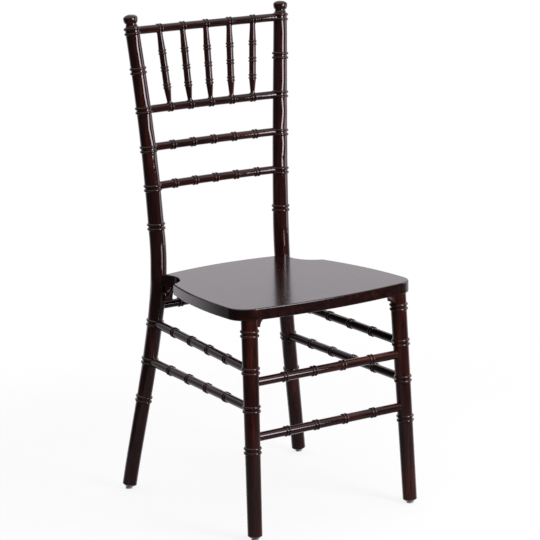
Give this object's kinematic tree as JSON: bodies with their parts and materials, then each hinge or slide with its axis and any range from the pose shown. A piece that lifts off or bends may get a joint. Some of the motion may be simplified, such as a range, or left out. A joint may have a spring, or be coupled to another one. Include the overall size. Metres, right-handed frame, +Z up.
{
  "type": "chiavari chair",
  "caption": "Dining chair of slender turned wood with double-beaded posts, legs and rails, a spindled back and a thin shaped wooden seat board.",
  "frame": {"origin": "on the floor, under the middle of the whole chair", "axes": "+Z up, +X to the right of someone facing the chair's front, +Y towards the chair's back; the chair is the same on both sides of the plane X = 0"},
  "size_m": [0.4232, 0.4351, 0.9157],
  "materials": {
    "frame_wood": "dark mahogany stain under a glossy clear coat",
    "seat_wood": "dark mahogany stain under a glossy clear coat",
    "glide_plastic": "pale grey nylon, slightly worn",
    "screw_steel": "zinc-plated steel"
  },
  "bodies": {
    "root": {"rear_post_right": "frame_wood", "rear_post_left": "frame_wood", "front_leg_right": "frame_wood", "front_leg_left": "frame_wood", "seat_board": "seat_wood", "crest_rail": "frame_wood", "spindle_rail": "frame_wood", "mid_back_rail": "frame_wood", "lower_back_rail": "frame_wood", "rear_seat_rail": "frame_wood", "spindle_1": "frame_wood", "spindle_2": "frame_wood", "spindle_3": "frame_wood", "spindle_4": "frame_wood", "spindle_5": "frame_wood", "front_stretcher_upper": "frame_wood", "front_stretcher_lower": "frame_wood", "side_stretcher_right_upper": "frame_wood", "side_stretcher_left_upper": "frame_wood", "side_stretcher_right_lower": "frame_wood", "side_stretcher_left_lower": "frame_wood", "rear_bracket_right": "frame_wood", "rear_bracket_left": "frame_wood", "front_bracket_right": "frame_wood", "front_bracket_left": "frame_wood", "bracket_screws": "screw_steel", "rear_glide_right": "glide_plastic", "rear_glide_left": "glide_plastic", "front_glide_right": "glide_plastic", "front_glide_left": "glide_plastic"}
  },
  "joints": []
}
